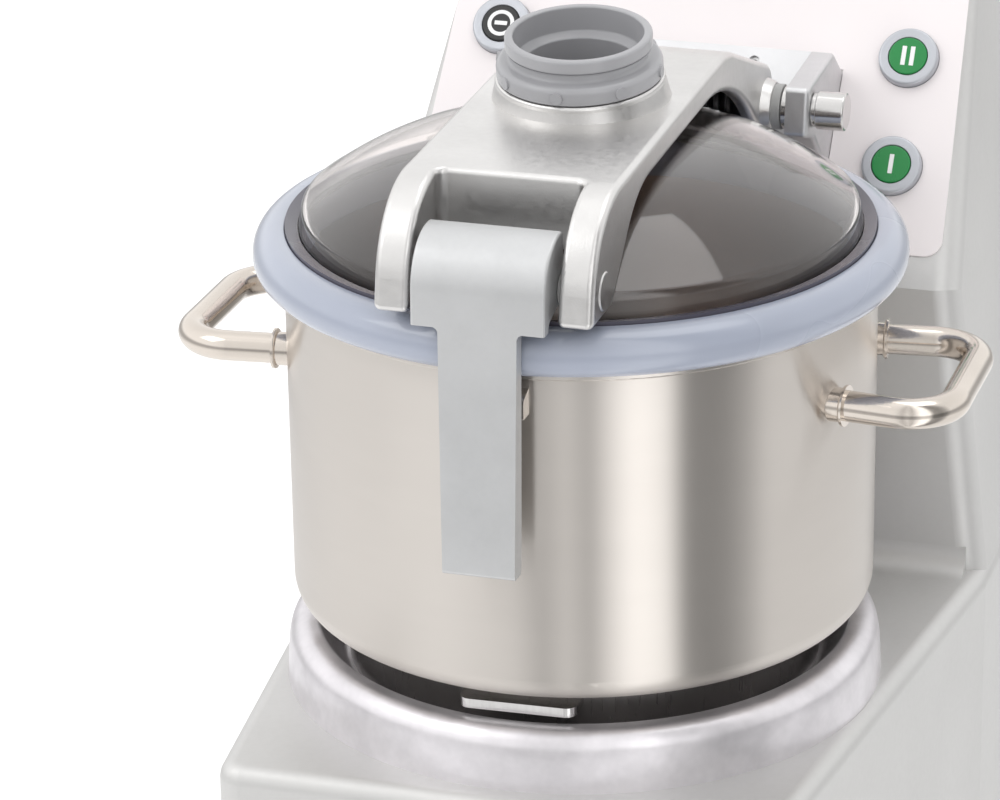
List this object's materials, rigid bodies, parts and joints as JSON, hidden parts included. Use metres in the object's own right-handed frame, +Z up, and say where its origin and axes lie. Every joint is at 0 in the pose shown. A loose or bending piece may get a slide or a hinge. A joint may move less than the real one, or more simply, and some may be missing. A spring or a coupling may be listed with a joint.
{
  "type": "vertical cutter mixer",
  "caption": "Table-top vertical cutter mixer: lift-off steel bowl with sickle blades on a motor base, clear hinged lid with feed tube, latch lever and push-button column.",
  "frame": {"origin": "on the floor in the middle of the footprint", "axes": "+Z up, +Y towards the back of the machine, +X to the machine's own right seen from behind the bowl"},
  "size_m": [0.4222, 0.6255, 0.68],
  "materials": {
    "sheet_steel": "satin",
    "zinc_plate": "dull",
    "foot_rubber": "matt",
    "screw_steel": "bright",
    "black_plastic": "matt",
    "label_film": "satin",
    "rough_cast": "grit-blasted, sparkling",
    "plain_cast": "as cast",
    "core_steel": "varnished",
    "copper_wire": "varnished",
    "bearing_steel": "ground",
    "seal_rubber": "matt",
    "stainless": "polished",
    "handle_steel": "polished",
    "ring_plastic": "glossy",
    "clear_plastic": "clear",
    "gasket_rubber": "matt",
    "arm_cast": "bead-blasted",
    "lever_cast": "satin",
    "bracket_cast": "bead-blasted",
    "tube_plastic": "glossy",
    "pin_steel": "polished",
    "bush_plastic": "matt",
    "spring_steel": "blackened",
    "magnet_steel": "nickel-plated",
    "bezel_metal": "satin",
    "green_key": "glossy",
    "black_key": "glossy",
    "red_key": "glossy",
    "blade_steel": "ground",
    "hub_plastic": "satin",
    "print_white": "printed"
  },
  "bodies": {
    "machine": {"housing": "sheet_steel", "bottom_plate": "zinc_plate", "feet": "foot_rubber", "rear_cover": "sheet_steel", "rear_cover_screws": "screw_steel", "cable_gland": "black_plastic", "panel_plate": "label_film", "front_plate": "label_film", "base_ring": "rough_cast", "motor_flange": "plain_cast", "motor_frame": "plain_cast", "stator_core": "core_steel", "stator_windings": "copper_wire", "lower_end_shield": "plain_cast", "upper_bearing": "bearing_steel", "lower_bearing": "bearing_steel", "shaft_seal": "seal_rubber", "motor_bolts": "screw_steel", "bowl": "stainless", "bowl_chimney": "stainless", "bowl_foot_ring": "stainless", "bowl_locating_lugs": "stainless", "bowl_catch": "stainless", "handle_left": "handle_steel", "handle_right": "handle_steel", "handle_flanges": "stainless", "hinge_bracket": "bracket_cast", "hinge_pin": "pin_steel", "hinge_knob": "pin_steel", "bracket_screws": "screw_steel", "spring_sleeve": "black_plastic", "hinge_spring": "spring_steel", "hinge_washers": "pin_steel", "button_bezels": "bezel_metal", "switch_blocks": "black_plastic", "electrics_plate": "zinc_plate", "contactors": "black_plastic", "terminal_block": "black_plastic", "reed_switch": "black_plastic"},
    "rotor": {"motor_shaft": "bearing_steel", "rotor_core": "core_steel", "cooling_fan": "black_plastic", "blade_hub": "hub_plastic", "lower_blades": "blade_steel", "upper_blades": "blade_steel", "blade_cap_nut": "hub_plastic"},
    "lid": {"lid_seal_ring": "ring_plastic", "lid_dome": "clear_plastic", "lid_gasket": "gasket_rubber", "lid_arm": "arm_cast", "lid_magnet": "magnet_steel", "latch_pin": "pin_steel", "latch_washers": "bush_plastic", "hinge_bushes": "bush_plastic"},
    "tube": {"feed_tube": "tube_plastic"},
    "latch": {"latch_lever": "lever_cast"},
    "key_two": {"button_two": "green_key"},
    "key_one": {"button_one": "green_key"},
    "key_pulse": {"button_pulse": "black_key"},
    "key_stop": {"button_stop": "red_key"}
  },
  "joints": [
    {"name": "rotor_spin", "type": "hinge", "parent": "machine", "child": "rotor", "pos_m": [0, -0.13075, 0.278], "axis": [0, 0, 1], "continuous": true},
    {"name": "lid_hinge", "type": "hinge", "parent": "machine", "child": "lid", "pos_m": [0, 0.03925, 0.5395], "axis": [-1, 0, 0], "range_deg": [0, 70]},
    {"name": "latch_pivot", "type": "hinge", "parent": "lid", "child": "latch", "pos_m": [0, -0.27875, 0.547], "axis": [-1, 0, 0], "range_deg": [0, 50]},
    {"name": "feed_tube_twist", "type": "hinge", "parent": "lid", "child": "tube", "pos_m": [0, -0.13075, 0.606], "axis": [0, -0.1132, 0.9936], "range_deg": [0, 30]},
    {"name": "press_two", "type": "slide", "parent": "machine", "child": "key_two", "axis": [0, 0.788, -0.6157], "range_m": [0, 0.003], "stiffness_N_per_m": 400},
    {"name": "press_one", "type": "slide", "parent": "machine", "child": "key_one", "axis": [0, 0.788, -0.6157], "range_m": [0, 0.003], "stiffness_N_per_m": 400},
    {"name": "press_pulse", "type": "slide", "parent": "machine", "child": "key_pulse", "axis": [0, 0.788, -0.6157], "range_m": [0, 0.003], "stiffness_N_per_m": 400},
    {"name": "press_stop", "type": "slide", "parent": "machine", "child": "key_stop", "axis": [0, 0.788, -0.6157], "range_m": [0, 0.003], "stiffness_N_per_m": 400}
  ]
}
